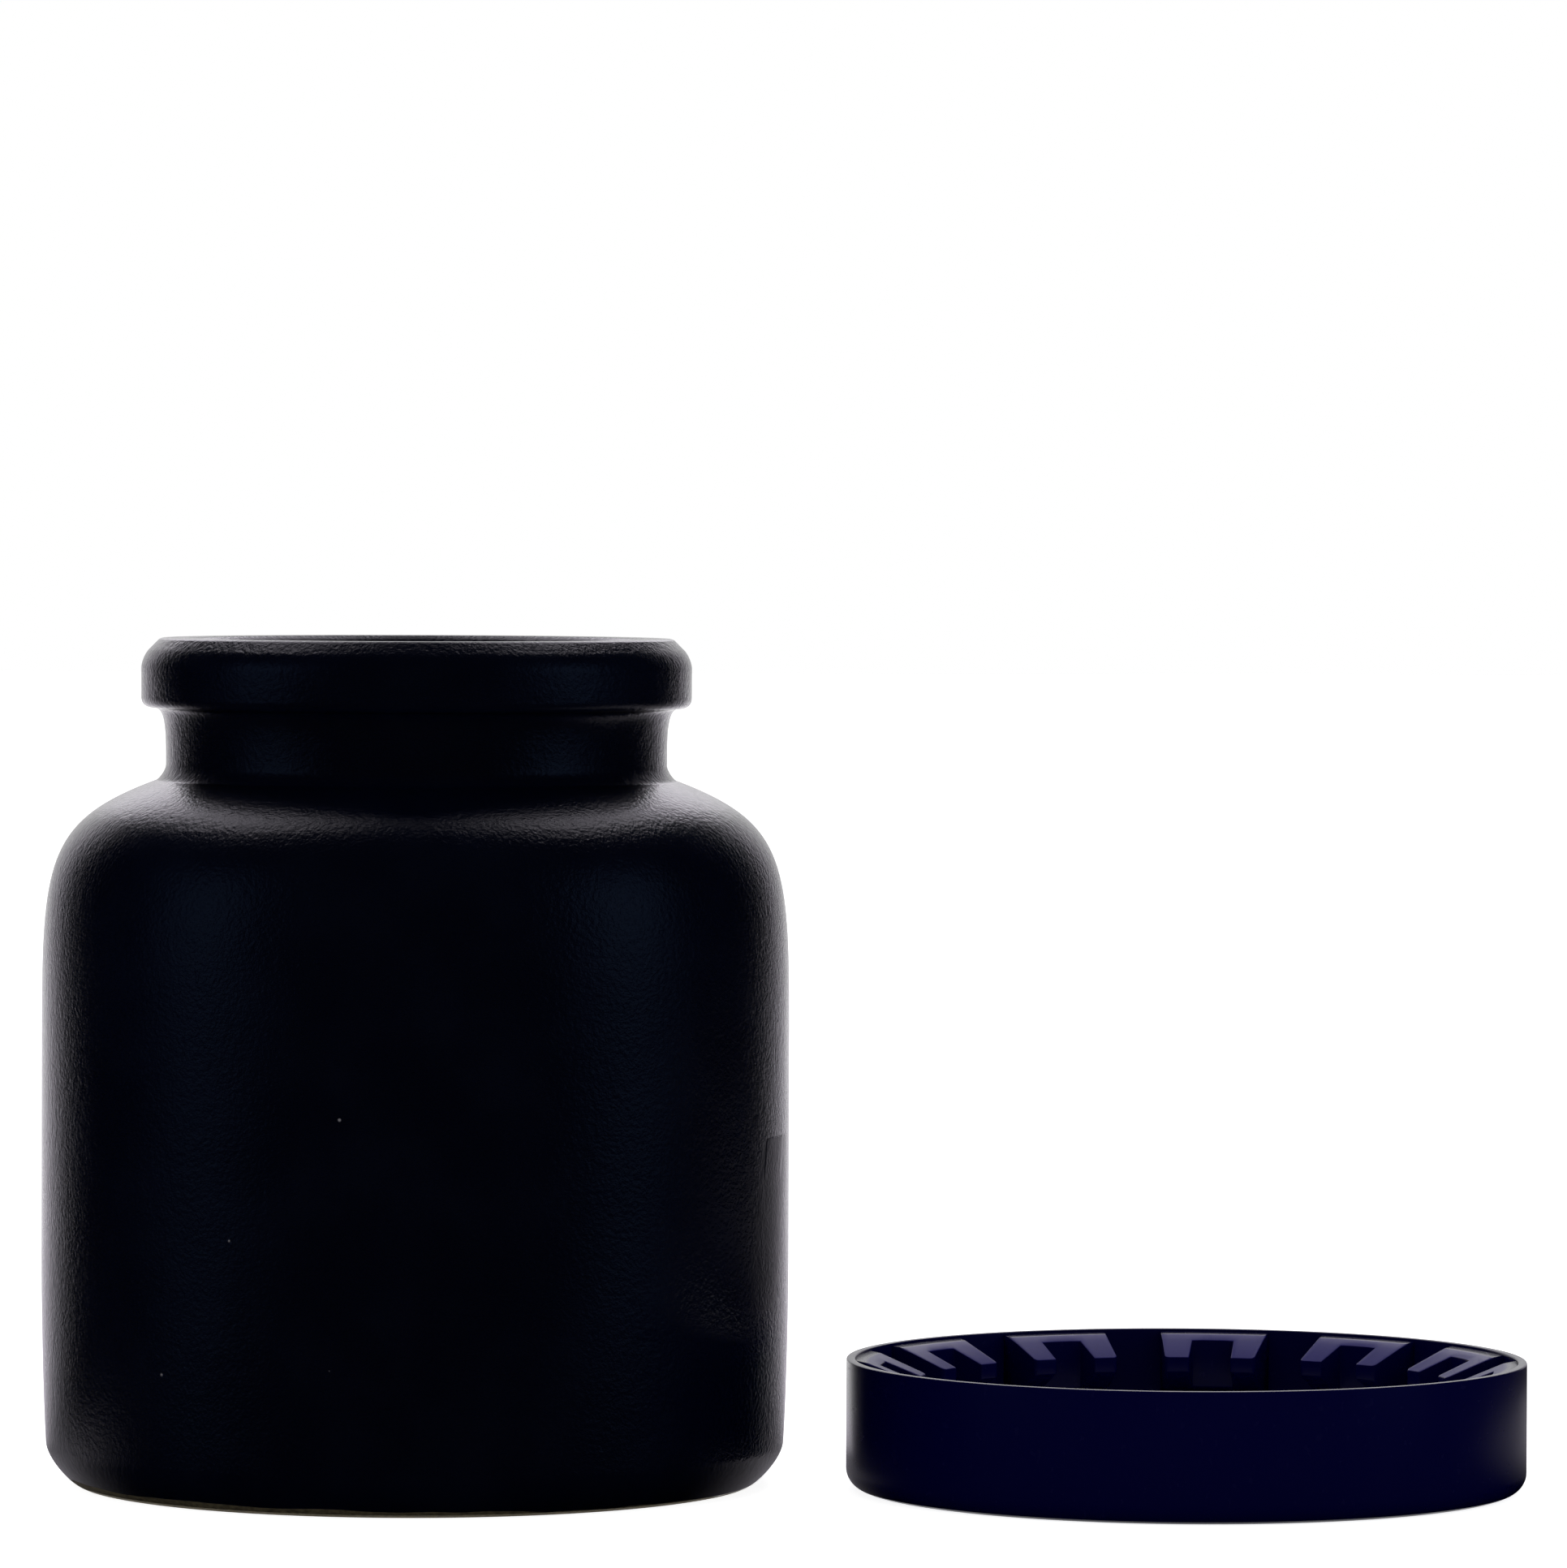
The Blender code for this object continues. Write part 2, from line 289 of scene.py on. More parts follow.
def rounded(start, corner, end, shares=(ARC_SHARE, ARC_SHARE), steps=12):
    """Points from start to end round a corner, without the start itself."""
    start, corner, end = Vector(start), Vector(corner), Vector(end)
    first = start.lerp(corner, shares[0])
    second = end.lerp(corner, shares[1])
    points = []
    for step in range(1, steps + 1):
        t = step / steps
        first_half = (1 - t) ** 3 * start + 3 * (1 - t) ** 2 * t * first
        point = first_half + 3 * (1 - t) * t ** 2 * second + t ** 3 * end
        points.append(tuple(point))
    return points


round_corner = rounded((0, 1), (0, 0), (1, 0), steps=3)
print("a round corner", [tuple(round(part, 3) for part in point) for point in round_corner])

# %% [markdown]
# ## Patterns that the finishes share
#
# Noise gives cloudiness and grain, at a size in metres. Pinholes and specks are rarer: a Voronoi pattern
# scatters one point in each cell, a random colour for the cell picks the few that count, and the distance
# from the point gives a small round mark.

# %% Grain, clouds and specks
def noise(place, size, detail=2.0, roughness=0.5):
    """Random values round 0.5 that change over about this many metres."""
    return place.node("ShaderNodeTexNoise", sockets={
        "Vector": place, "Scale": 1 / size, "Detail": detail, "Roughness": roughness})


def waver(place, size, reach):
    """How far a line strays, with half of the reach to either side, changing over about this many metres."""
    return (noise(place, size) - 0.5) * reach


def specks(place, spacing, size, share):
    """1 in small round marks of this radius, in this share of cells of this spacing, and 0 elsewhere."""
    cell = place.node("ShaderNodeTexVoronoi", sockets={"Vector": place, "Scale": 1 / spacing})
    lot = cell.node("ShaderNodeSeparateXYZ", sockets={0: cell.other("Color")})
    return cell.rise(size / spacing, 0.5 * size / spacing) * lot.math("LESS_THAN", lot, share)


def new_material(name, **fixed):
    """A material, its shader with the fixed values set, and a wire of Object coordinates in metres."""
    material = bpy.data.materials.new(name)
    material.use_nodes = True
    shader = material.node_tree.nodes["Principled BSDF"]
    for key, value in fixed.items():
        shader.inputs[key.replace("_", " ")].default_value = value
    place = Wire(material.node_tree).node("ShaderNodeTexCoord", output="Object")
    return material, shader, place


def dress(shader, colour, roughness, height):
    """Feeds what changes over the surface: the height is in metres and becomes the bump."""
    colour.feed(shader.inputs["Base Color"], colour)
    colour.feed(shader.inputs["Roughness"], roughness)
    bump = colour.node("ShaderNodeBump", sockets={"Distance": 1.0, "Height": height})
    colour.feed(shader.inputs["Normal"], bump)


# %% [markdown]
# ## The glaze
#
# The jar's glaze is near black with a cold blue cast. Seen face on it gives back almost no light, and only at
# a glancing angle does its fine grain turn grey. Its colour is so dark that what shows is the gloss alone: a
# middling roughness blurs that, and a fine bump breaks it into grain. The glaze was wiped off the base before
# firing, so the base and the very edge of it are bare olive-brown clay, up to a wavering line that slants and
# lies about a millimetre up. The glaze has a few pinholes and pale specks. On the right side it has healed
# over a shallow scar, which has a step along its top and a duller patch below.
#
# Lengths are in metres. A pattern's values are its size and how far it reaches, and those of the specks are
# their spacing, their radius and the share of places that have one.

# %% Glaze and bare clay
GLAZE_COLOUR = (0.0003, 0.0012, 0.0075, 1)
GLAZE_THIN_COLOUR = (0.0008, 0.0022, 0.0100, 1)
SPECK_COLOUR = (0.22, 0.21, 0.22, 1)
CLAY_COLOUR = (0.170, 0.138, 0.072, 1)
CLAY_DARK_COLOUR = (0.085, 0.069, 0.036, 1)
GLAZE_INDEX = 1.45
GLAZE_ROUGHNESS = 0.22
GLAZE_ROUGHNESS_RANGE = 0.06
GLAZE_CLOUD_SIZE = 0.012
GLAZE_GRAIN_SIZE = 0.00055
GLAZE_GRAIN_DEPTH = 0.000100
ORANGE_PEEL_SIZE = 0.0016
ORANGE_PEEL_DEPTH = 0.000045
PINHOLES = (0.006, 0.00016, 0.35)
PINHOLE_DEPTH = 0.00010
PALE_SPECKS = (0.012, 0.00026, 0.35)
PALE_SPECK_HEIGHT = 0.00003
BODY_RADIUS = 0.0485
CLAY_LINE = 0.00085
CLAY_LINE_SLOPE = 0.010
CLAY_LINE_WAVER = (0.015, 0.0012)
CLAY_LINE_EASE = 0.00006
CLAY_STEP_DOWN = 0.00005
CLAY_EXTRA_ROUGHNESS = 0.45
CLAY_CLOUD_SIZE = 0.0007
CLAY_GRAIN_SIZE = 0.0004
CLAY_GRAIN_DEPTH = 0.00012
SCAR_TOP = 0.0457
SCAR_TOP_WAVER = (0.002, 0.0006)
SCAR_TOP_EASE = 0.0002
SCAR_ANGLE = radians(-17.6)
SCAR_HALF_WIDTH = 0.0039
SCAR_SIDE_WAVER = (0.003, 0.0016)
SCAR_LEAN = 0.2
STEP_SIDE_EASE = (0.0003, -0.0005)
STEP_FADE = 0.0035
STEP_END = 0.0060
STEP_HEIGHT = 0.00009
DULL_SIDE_EASE = (0.0050, -0.0035)
DULL_FADE = 0.0170
DULL_END = 0.0260
DULL_PALENESS = 0.8
DULL_EXTRA_ROUGHNESS = 0.12


def stoneware_finish():
    """The glazed jar's material."""
    material, shader, place = new_material("matt_glaze_on_stoneware", IOR=GLAZE_INDEX)
    x = place.node("ShaderNodeSeparateXYZ", sockets={0: place})
    y, z = x.other(1), x.other(2)
    clouds = noise(place, GLAZE_CLOUD_SIZE, detail=3)
    grain = noise(place, GLAZE_GRAIN_SIZE, detail=3, roughness=0.6)
    orange_peel = noise(place, ORANGE_PEEL_SIZE, detail=1)
    pinholes = specks(place, *PINHOLES)
    pale_specks = specks(place, *PALE_SPECKS)
    clay_level = z + x * CLAY_LINE_SLOPE + waver(place, *CLAY_LINE_WAVER)
    bare = clay_level.rise(CLAY_LINE + CLAY_LINE_EASE, CLAY_LINE - CLAY_LINE_EASE)
    across = (y.math("ARCTAN2", y, x) - SCAR_ANGLE) * BODY_RADIUS + (SCAR_TOP - z) * SCAR_LEAN
    scar_edge = across.math("ABSOLUTE", across) - SCAR_HALF_WIDTH - waver(place, *SCAR_SIDE_WAVER)
    scar_level = z + waver(place, *SCAR_TOP_WAVER)
    below_top = scar_level.rise(SCAR_TOP + SCAR_TOP_EASE, SCAR_TOP - SCAR_TOP_EASE)
    step = scar_edge.rise(*STEP_SIDE_EASE) * below_top * z.rise(SCAR_TOP - STEP_END, SCAR_TOP - STEP_FADE)
    dull = scar_edge.rise(*DULL_SIDE_EASE) * below_top * z.rise(SCAR_TOP - DULL_END, SCAR_TOP - DULL_FADE)
    glaze = clouds.rise(0.35, 0.75).tint(GLAZE_COLOUR, GLAZE_THIN_COLOUR)
    glaze = (dull * DULL_PALENESS).tint(glaze, GLAZE_THIN_COLOUR)
    glaze = pale_specks.tint(glaze, SPECK_COLOUR)
    clay = noise(place, CLAY_CLOUD_SIZE, detail=4).rise(0.3, 0.7).tint(CLAY_DARK_COLOUR, CLAY_COLOUR)
    colour = bare.tint(glaze, clay)
    roughness = GLAZE_ROUGHNESS + (clouds - 0.5) * GLAZE_ROUGHNESS_RANGE
    roughness = roughness + dull * DULL_EXTRA_ROUGHNESS + bare * CLAY_EXTRA_ROUGHNESS
    height = grain * GLAZE_GRAIN_DEPTH + orange_peel * ORANGE_PEEL_DEPTH - pinholes * PINHOLE_DEPTH
    height = height + pale_specks * PALE_SPECK_HEIGHT + step * STEP_HEIGHT - bare * CLAY_STEP_DOWN
    height = height + bare * noise(place, CLAY_GRAIN_SIZE, detail=4) * CLAY_GRAIN_DEPTH
    dress(shader, colour, roughness, height)
    return material


glaze_material = stoneware_finish()
print(glaze_material.name, len(glaze_material.node_tree.nodes), "nodes")

# %% [markdown]
# ## The jar
#
# The outline runs from the middle of the inner floor up the inside, over the rim and down the outside to the
# middle of the base. From the top: a rim with its outer edge slanted at 45 degrees, on a collar that the
# lid's lugs hook under, a cove and a short neck, a rounded shoulder, straight sides, and a slight draw-in to
# the foot.

# %% The jar's sizes
JAR_HEIGHT = 0.1095
WALL = 0.0052
FLOOR = 0.0070
FLOOR_CORNER = 0.0080
BASE_INSET = 0.0049
FOOT_HEIGHT = 0.0055
FOOT_TAPER = 0.0006
FOOT_SHARES = (0.22, 0.39)
SWELL_HEIGHT = 0.0245
SWELL_SHARES = (0.60, 0.60)
SWELL_CORNER_SHARE = 0.42
SHOULDER_HEIGHT = 0.0342
SHOULDER_SLOPE_RISE = 0.0055
SHOULDER_EDGE = 0.0015
SHOULDER_SHARES = (0.83, 0.98)
NECK_RADIUS = 0.0325
NECK_WALL = 0.0048
NECK_HEIGHT = 0.0095
NECK_FILLET = 0.0021
FILLET_SHARES = (0.35, 0.35)
COLLAR_REACH = 0.0032
COLLAR_HEIGHT = 0.0090
COLLAR_CORNER = 0.0013
COLLAR_CORNER_SHARES = (0.60, 0.60)
COLLAR_COVE = 0.0062
COVE_SHARES = (0.88, 0.70)
RIM_CHAMFER = 0.00248
RIM_EDGE_ROUND = 0.00035
RIM_SIDE_ROUND = 0.0015
MOUTH_ROUND = 0.0019

collar_radius = NECK_RADIUS + COLLAR_REACH
mouth_radius = NECK_RADIUS - NECK_WALL
collar_low = JAR_HEIGHT - COLLAR_HEIGHT
shoulder_high = collar_low - NECK_HEIGHT
shoulder_low = shoulder_high - SHOULDER_HEIGHT
slope_low = shoulder_high - SHOULDER_SLOPE_RISE
print("collar", round(2000 * collar_radius, 1), "mm across, shoulder from", round(1000 * shoulder_low, 1),
      "to", round(1000 * shoulder_high, 1), "mm up")

# %% The jar's outline
def inside_of_jar():
    """From the middle of the floor up to the rim's inner edge."""
    inner_radius = BODY_RADIUS - WALL
    inner_high = shoulder_high - WALL
    floor_edge = (inner_radius - FLOOR_CORNER, FLOOR)
    wall_low = (inner_radius, FLOOR + FLOOR_CORNER)
    wall_high = (inner_radius, shoulder_low)
    inner_shoulder = (mouth_radius + SHOULDER_EDGE, inner_high)
    throat_low = (mouth_radius, inner_high + NECK_FILLET)
    throat_high = (mouth_radius, JAR_HEIGHT - MOUTH_ROUND)
    rim_inner = (mouth_radius + MOUTH_ROUND, JAR_HEIGHT)
    points = [(0, FLOOR), floor_edge] + rounded(floor_edge, (inner_radius, FLOOR), wall_low)
    points += [wall_high]
    points += rounded(wall_high, (inner_radius, slope_low - WALL), inner_shoulder, SHOULDER_SHARES, 20)
    points += rounded(inner_shoulder, (mouth_radius, inner_high), throat_low, FILLET_SHARES, 6)
    return points + [throat_high] + rounded(throat_high, (mouth_radius, JAR_HEIGHT), rim_inner, steps=9)


def outside_of_jar():
    """From the rim's outer edge down to the middle of the base."""
    foot_radius = BODY_RADIUS - FOOT_TAPER
    swell_corner = FOOT_HEIGHT + SWELL_HEIGHT * SWELL_CORNER_SHARE
    edge_run = RIM_EDGE_ROUND * sin(pi / 4)
    side_run = RIM_SIDE_ROUND * sin(pi / 4)
    rim_corner = (collar_radius - RIM_CHAMFER, JAR_HEIGHT)
    rim_outer = (rim_corner[0] - RIM_EDGE_ROUND, JAR_HEIGHT)
    chamfer_high = (rim_corner[0] + edge_run, JAR_HEIGHT - edge_run)
    chamfer_low = (collar_radius - side_run, JAR_HEIGHT - RIM_CHAMFER + side_run)
    chamfer_corner = (collar_radius, JAR_HEIGHT - RIM_CHAMFER)
    collar_high = (collar_radius, JAR_HEIGHT - RIM_CHAMFER - RIM_SIDE_ROUND)
    collar_side_low = (collar_radius, collar_low + COLLAR_CORNER)
    collar_under = (collar_radius - COLLAR_CORNER, collar_low)
    neck_high = (NECK_RADIUS, collar_low - COLLAR_COVE)
    neck_low = (NECK_RADIUS, shoulder_high + NECK_FILLET)
    shoulder_end = (NECK_RADIUS + SHOULDER_EDGE, shoulder_high)
    side_high = (BODY_RADIUS, shoulder_low)
    side_low = (BODY_RADIUS, FOOT_HEIGHT + SWELL_HEIGHT)
    foot_high = (foot_radius, FOOT_HEIGHT)
    base_edge = (BODY_RADIUS - BASE_INSET, 0)
    points = [rim_outer] + rounded(rim_outer, rim_corner, chamfer_high, steps=8) + [chamfer_low]
    points += rounded(chamfer_low, chamfer_corner, collar_high, steps=12) + [collar_side_low]
    points += rounded(collar_side_low, (collar_radius, collar_low), collar_under, COLLAR_CORNER_SHARES, 8)
    points += rounded(collar_under, (NECK_RADIUS, collar_low), neck_high, COVE_SHARES[::-1], 14)
    points += [neck_low] + rounded(neck_low, (NECK_RADIUS, shoulder_high), shoulder_end, FILLET_SHARES, 9)
    points += rounded(shoulder_end, (BODY_RADIUS, slope_low), side_high, SHOULDER_SHARES[::-1], 34)
    points += [side_low] + rounded(side_low, (BODY_RADIUS, swell_corner), foot_high, SWELL_SHARES[::-1], 10)
    points += rounded(foot_high, (foot_radius, 0), base_edge, FOOT_SHARES[::-1], 16)
    return points + [(0, 0)]


glazed_jar = turned("glazed_jar", inside_of_jar() + outside_of_jar(), glaze_material,
                    unevenness=0.0012, wave_size=0.03, seed=4.0)

# %% [markdown]
# ## The lid's plastic
#
# The lid is moulded polythene: a deep navy all through, with a satin skin. Its surface isn't a mirror, since
# the steel of a mould is only stoned smooth, and a lid in use gathers faint scuffs. The ramps of the lugs rub
# over the jar's collar each time that the lid goes on, and rubbed polythene turns a chalky lavender. That
# lavender on the up-facing ramps is also a painted highlight, where the strip lamps above fall on them.

# %% Navy polythene
LID_COLOUR = (0.0003, 0.0002, 0.0390, 1)
LID_SCUFF_COLOUR = (0.0030, 0.0025, 0.0500, 1)
# Pale lavender of the lug ramps: partly rubbed wear, partly a painted highlight of the strip lamps.
LID_RUBBED_AND_LIT_COLOUR = (0.0260, 0.0230, 0.1600, 1)
LID_INDEX = 1.17
LID_ROUGHNESS = 0.25
LID_ROUGHNESS_RANGE = 0.06
LID_CLOUD_SIZE = 0.009
LID_GRAIN_SIZE = 0.0003
LID_GRAIN_DEPTH = 0.000004
LID_WAVE_SIZE = 0.006
LID_WAVE_DEPTH = 0.00002
SCUFF_STRETCH = (1.0, 0.08, 0.6)
SCUFF_SIZE = 0.0009
SCUFF_DEPTH = 0.000003
SCUFF_EXTRA_ROUGHNESS = 0.06
LID_CENTRE = (0.09958, -0.01019, 0)
RUBBED_AND_LIT_OUTER_RADIUS = 0.0413
RUBBED_AND_LIT_LEVEL = 0.0132
RUBBED_AND_LIT_EASE = 0.0004
RUBBED_AND_LIT_GRAIN_SIZE = 0.0011
RUBBED_EXTRA_ROUGHNESS = 0.12


def lid_finish():
    """The lid's material."""
    material, shader, place = new_material("navy_polythene", IOR=LID_INDEX)
    stretched = place.vector("MULTIPLY", place, SCUFF_STRETCH)
    scuffs = noise(stretched, SCUFF_SIZE, detail=3).rise(0.62, 0.75)
    clouds = noise(place, LID_CLOUD_SIZE, detail=2)
    grain = noise(place, LID_GRAIN_SIZE, detail=2)
    waves = noise(place, LID_WAVE_SIZE, detail=1)
    spoke = place.vector("MULTIPLY", place.vector("SUBTRACT", place, LID_CENTRE), (1, 1, 0))
    radius = spoke.vector("LENGTH", spoke, output="Value")
    level = place.node("ShaderNodeSeparateXYZ", sockets={0: place}, output="Z")
    # The ramps' pale lavender is partly rubbed wear and partly a painted highlight on the faces that look up
    # at the strip lamps.
    rubbed_and_lit = radius.rise(RUBBED_AND_LIT_OUTER_RADIUS + RUBBED_AND_LIT_EASE, RUBBED_AND_LIT_OUTER_RADIUS - RUBBED_AND_LIT_EASE)
    rubbed_and_lit = rubbed_and_lit * level.rise(RUBBED_AND_LIT_LEVEL - RUBBED_AND_LIT_EASE, RUBBED_AND_LIT_LEVEL + RUBBED_AND_LIT_EASE)
    normal = place.other("Normal")
    facing_up = normal.node("ShaderNodeSeparateXYZ", sockets={0: normal}, output="Z")
    rubbed_and_lit = rubbed_and_lit * facing_up.rise(0.5, 0.75) * (0.7 + noise(place, RUBBED_AND_LIT_GRAIN_SIZE, detail=3) * 0.6)
    colour = (scuffs * 0.4 + clouds * 0.2).tint(LID_COLOUR, LID_SCUFF_COLOUR)
    colour = rubbed_and_lit.tint(colour, LID_RUBBED_AND_LIT_COLOUR)
    roughness = LID_ROUGHNESS + (clouds - 0.5) * LID_ROUGHNESS_RANGE
    roughness = roughness + scuffs * SCUFF_EXTRA_ROUGHNESS + rubbed_and_lit * RUBBED_EXTRA_ROUGHNESS
    height = grain * LID_GRAIN_DEPTH - scuffs * SCUFF_DEPTH + waves * LID_WAVE_DEPTH
    dress(shader, colour, roughness, height)
    return material


lid_material = lid_finish()
print(lid_material.name, len(lid_material.node_tree.nodes), "nodes")

# %% [markdown]
# ## The lid's shell
#
# The shell is a shallow cup: a flat plate that lies on the table, a wall with a small rounded corner, and a
# plain lip. A low bead stands on the plate's inner side and holds the sealing disc. Like the disc, the bead
# is a guess. A mould leaves every edge with a small radius, so the lip and the bead are rounded too, and
# light finds a line along them.

# %% The lid's shell
LID_RADIUS = 0.04396
LID_INNER_RADIUS = 0.0428
LID_HEIGHT = 0.0168
LID_PLATE = 0.0013
LID_CORNER = 0.0026
LID_INNER_CORNER = 0.0016
LIP_ROUND = 0.00022
BEAD_INNER_RADIUS = 0.0339
BEAD_WIDTH = 0.0010
BEAD_HEIGHT = 0.0012
BEAD_ROUND = 0.0003
BEAD_FOOT = 0.0002


def shell_outline():
    """From the middle of the plate's upper side, up the wall and over the lip, down to its underside."""
    bead_outer = BEAD_INNER_RADIUS + BEAD_WIDTH
    bead_top = LID_PLATE + BEAD_HEIGHT
    foot_in = (BEAD_INNER_RADIUS, LID_PLATE + BEAD_FOOT)
    side_in = (BEAD_INNER_RADIUS, bead_top - BEAD_ROUND)
    top_in = (BEAD_INNER_RADIUS + BEAD_ROUND, bead_top)
    side_out = (bead_outer, bead_top - BEAD_ROUND)
    foot_out = (bead_outer, LID_PLATE + BEAD_FOOT)
    foot_end = (bead_outer + BEAD_FOOT, LID_PLATE)
    floor_edge = (LID_INNER_RADIUS - LID_INNER_CORNER, LID_PLATE)
    wall_low = (LID_INNER_RADIUS, LID_PLATE + LID_INNER_CORNER)
    lip_in = (LID_INNER_RADIUS, LID_HEIGHT - LIP_ROUND)
    lip_top_in = (LID_INNER_RADIUS + LIP_ROUND, LID_HEIGHT)
    lip_out = (LID_RADIUS, LID_HEIGHT - LIP_ROUND)
    corner_high = (LID_RADIUS, LID_CORNER)
    corner_low = (LID_RADIUS - LID_CORNER, 0)
    points = [(0, LID_PLATE), (BEAD_INNER_RADIUS - BEAD_FOOT, LID_PLATE)]
    points += rounded(points[-1], (BEAD_INNER_RADIUS, LID_PLATE), foot_in, steps=4) + [side_in]
    points += rounded(side_in, (BEAD_INNER_RADIUS, bead_top), top_in, steps=5)
    points += [(bead_outer - BEAD_ROUND, bead_top)]
    points += rounded(points[-1], (bead_outer, bead_top), side_out, steps=5) + [foot_out]
    points += rounded(foot_out, (bead_outer, LID_PLATE), foot_end, steps=4)
    points += [floor_edge] + rounded(floor_edge, (LID_INNER_RADIUS, LID_PLATE), wall_low, steps=9) + [lip_in]
    points += rounded(lip_in, (LID_INNER_RADIUS, LID_HEIGHT), lip_top_in, steps=5)
    points += [(LID_RADIUS - LIP_ROUND, LID_HEIGHT)]
    points += rounded(points[-1], (LID_RADIUS, LID_HEIGHT), lip_out, steps=5) + [corner_high]
    return points + rounded(corner_high, (LID_RADIUS, 0), corner_low, steps=14) + [(0, 0)]


lid_shell = turned("lid_shell", shell_outline(), lid_material, centre=LID_CENTRE,
                   unevenness=0.0008, wave_size=0.04, seed=9.0)

# %% [markdown]
# ## The ring of lugs
#
# Twelve lugs stand on the inside of the wall. Each has a narrow land that slopes a little just below the lip,
# a ramp that spreads it over the jar's collar, and a hook that catches under the collar. A notch splits it
# into two legs, so that it can give. One lug is made in mesh code, since its shape is cut rather than ruled,
# and its edges are rounded. The nodes then set it round the lid's axis twelve times.

# %% One lug
LUG_COUNT = 12
LUG_PHASE = radians(19.9)
LUG_SPAN = radians(19.6)
LUG_ROOT_RADIUS = 0.0434
LUG_LAND_ROOT_LEVEL = 0.0166
LUG_LAND_LEVEL = 0.0162
LUG_LAND_RADIUS = 0.0411
LUG_NOSE_RADIUS = 0.0350
LUG_NOSE_LEVEL = 0.0137
LUG_HOOK_LEVEL = 0.0118
LUG_ROOT_LEVEL = 0.0073
NOTCH_WIDTH = 0.0055
NOTCH_RADIUS = 0.0396
LUG_CORNER_ROUND = 0.0006
LUG_EDGE_ROUND = 0.00018
LEG_STEPS = 5
NOTCH_STEPS = 4
SHARP_ANGLE = radians(20)


def on_slope(low, high, radius):
    """The point at this radius on the straight line through two points of the section."""
    share = (radius - low[0]) / (high[0] - low[0])
    return (radius, low[1] + share * (high[1] - low[1]))


def lug_mesh():
    """One lug with its middle on the X axis and its root inside the lid's wall."""
    root_low, hook = (LUG_ROOT_RADIUS, LUG_ROOT_LEVEL), (LUG_NOSE_RADIUS, LUG_HOOK_LEVEL)
    nose, land = (LUG_NOSE_RADIUS, LUG_NOSE_LEVEL), (LUG_LAND_RADIUS, LUG_LAND_LEVEL)
    section = [root_low, on_slope(hook, root_low, NOTCH_RADIUS), hook, nose,
               on_slope(nose, land, NOTCH_RADIUS), land, (LUG_ROOT_RADIUS, LUG_LAND_ROOT_LEVEL)]
    leg = [(1 - step / LEG_STEPS, step / LEG_STEPS) for step in range(LEG_STEPS)]
    middle = [(0, 1 - 2 * step / NOTCH_STEPS) for step in range(NOTCH_STEPS + 1)]
    columns = leg + middle + [(-end, -notch) for end, notch in reversed(leg)]
    bm = bmesh.new()
    rows = []
    for end, notch in columns:
        angles = [end * LUG_SPAN / 2 + notch * asin(NOTCH_WIDTH / 2 / radius) for radius, _ in section]
        rows.append([bm.verts.new((radius * cos(angle), radius * sin(angle), height))
                     for (radius, height), angle in zip(section, angles)])
    whole, cut = (0, 1, 2, 3, 4, 5, 6, 0), (0, 1, 4, 5, 6, 0)
    for number, (row, after) in enumerate(zip(rows, rows[1:])):
        in_notch = LEG_STEPS <= number < LEG_STEPS + NOTCH_STEPS
        loop = cut if in_notch else whole
        for here, there in zip(loop, loop[1:]):
            bm.faces.new((row[here], row[there], after[there], after[here]))
    for row in (rows[0], rows[-1]):
        bm.faces.new(row)
    for row in (rows[LEG_STEPS], rows[LEG_STEPS + NOTCH_STEPS]):
        bm.faces.new(row[1:5])
    bmesh.ops.delete(bm, geom=[vert for vert in bm.verts if not vert.link_faces], context="VERTS")
    bmesh.ops.recalc_face_normals(bm, faces=bm.faces)
    corners = [edge for row in (rows[0], rows[-1]) for edge in row[2].link_edges
               if edge.other_vert(row[2]) is row[3]]
    bmesh.ops.bevel(bm, geom=corners, offset=LUG_CORNER_ROUND, segments=5, profile=0.5, affect="EDGES")
    sharp = [edge for edge in bm.edges if edge.calc_face_angle(0) > SHARP_ANGLE
             and max(vert.co.xy.length for vert in edge.verts) < LUG_ROOT_RADIUS - WELD_DISTANCE]
    bmesh.ops.bevel(bm, geom=sharp, offset=LUG_EDGE_ROUND, segments=3, profile=0.5, affect="EDGES")
    mesh = bpy.data.meshes.new("one_lug")
    print("one lug:", len(bm.faces), "faces, open edges", sum(edge.is_boundary for edge in bm.edges),
          "volume in mm3", round(bm.calc_volume(signed=True) * 1e9, 1))
    bm.to_mesh(mesh)
    bm.free()
    return mesh


one_lug = lug_mesh()

# %% The ring
def ring_tree():
    """Sets copies of a part evenly round the vertical line through Centre."""
    tree, given = new_tree("Ring of copies", {
        "Part": "Geometry", "Count": "Int", "First Angle": "Float", "Centre": "Vector",
        "Material": "Material"})
    part = given["Part"]
    points = part.node("GeometryNodePoints", sockets={"Count": given["Count"], "Position": given["Centre"]})
    angle = part.node("GeometryNodeInputIndex") * (2 * pi) / given["Count"] + given["First Angle"]
    turn = part.node("ShaderNodeCombineXYZ", sockets={"Z": angle})
    turn = part.node("FunctionNodeEulerToRotation", sockets={0: turn})
    copies = part.node("GeometryNodeInstanceOnPoints",
                       sockets={"Points": points, "Instance": part, "Rotation": turn})
    end_tree(copies, given["Material"])
    return tree


lid_lugs = grown("lid_lugs", one_lug, ring_tree(), {
    "Count": LUG_COUNT, "First Angle": LUG_PHASE, "Centre": LID_CENTRE, "Material": lid_material})
print("lid_lugs", len(lid_lugs.data.vertices), "vertices")

# %% [markdown]
# ## The sealing disc
#
# A stiff lid doesn't seal on fired clay by itself, so a soft milky disc lies inside the bead. The disc is a
# guess, since the photograph doesn't show the lid's floor. It is cut from sheet, so its edges are only
# slightly eased. Where the jar's rim has pressed on it, it keeps a shallow ring.

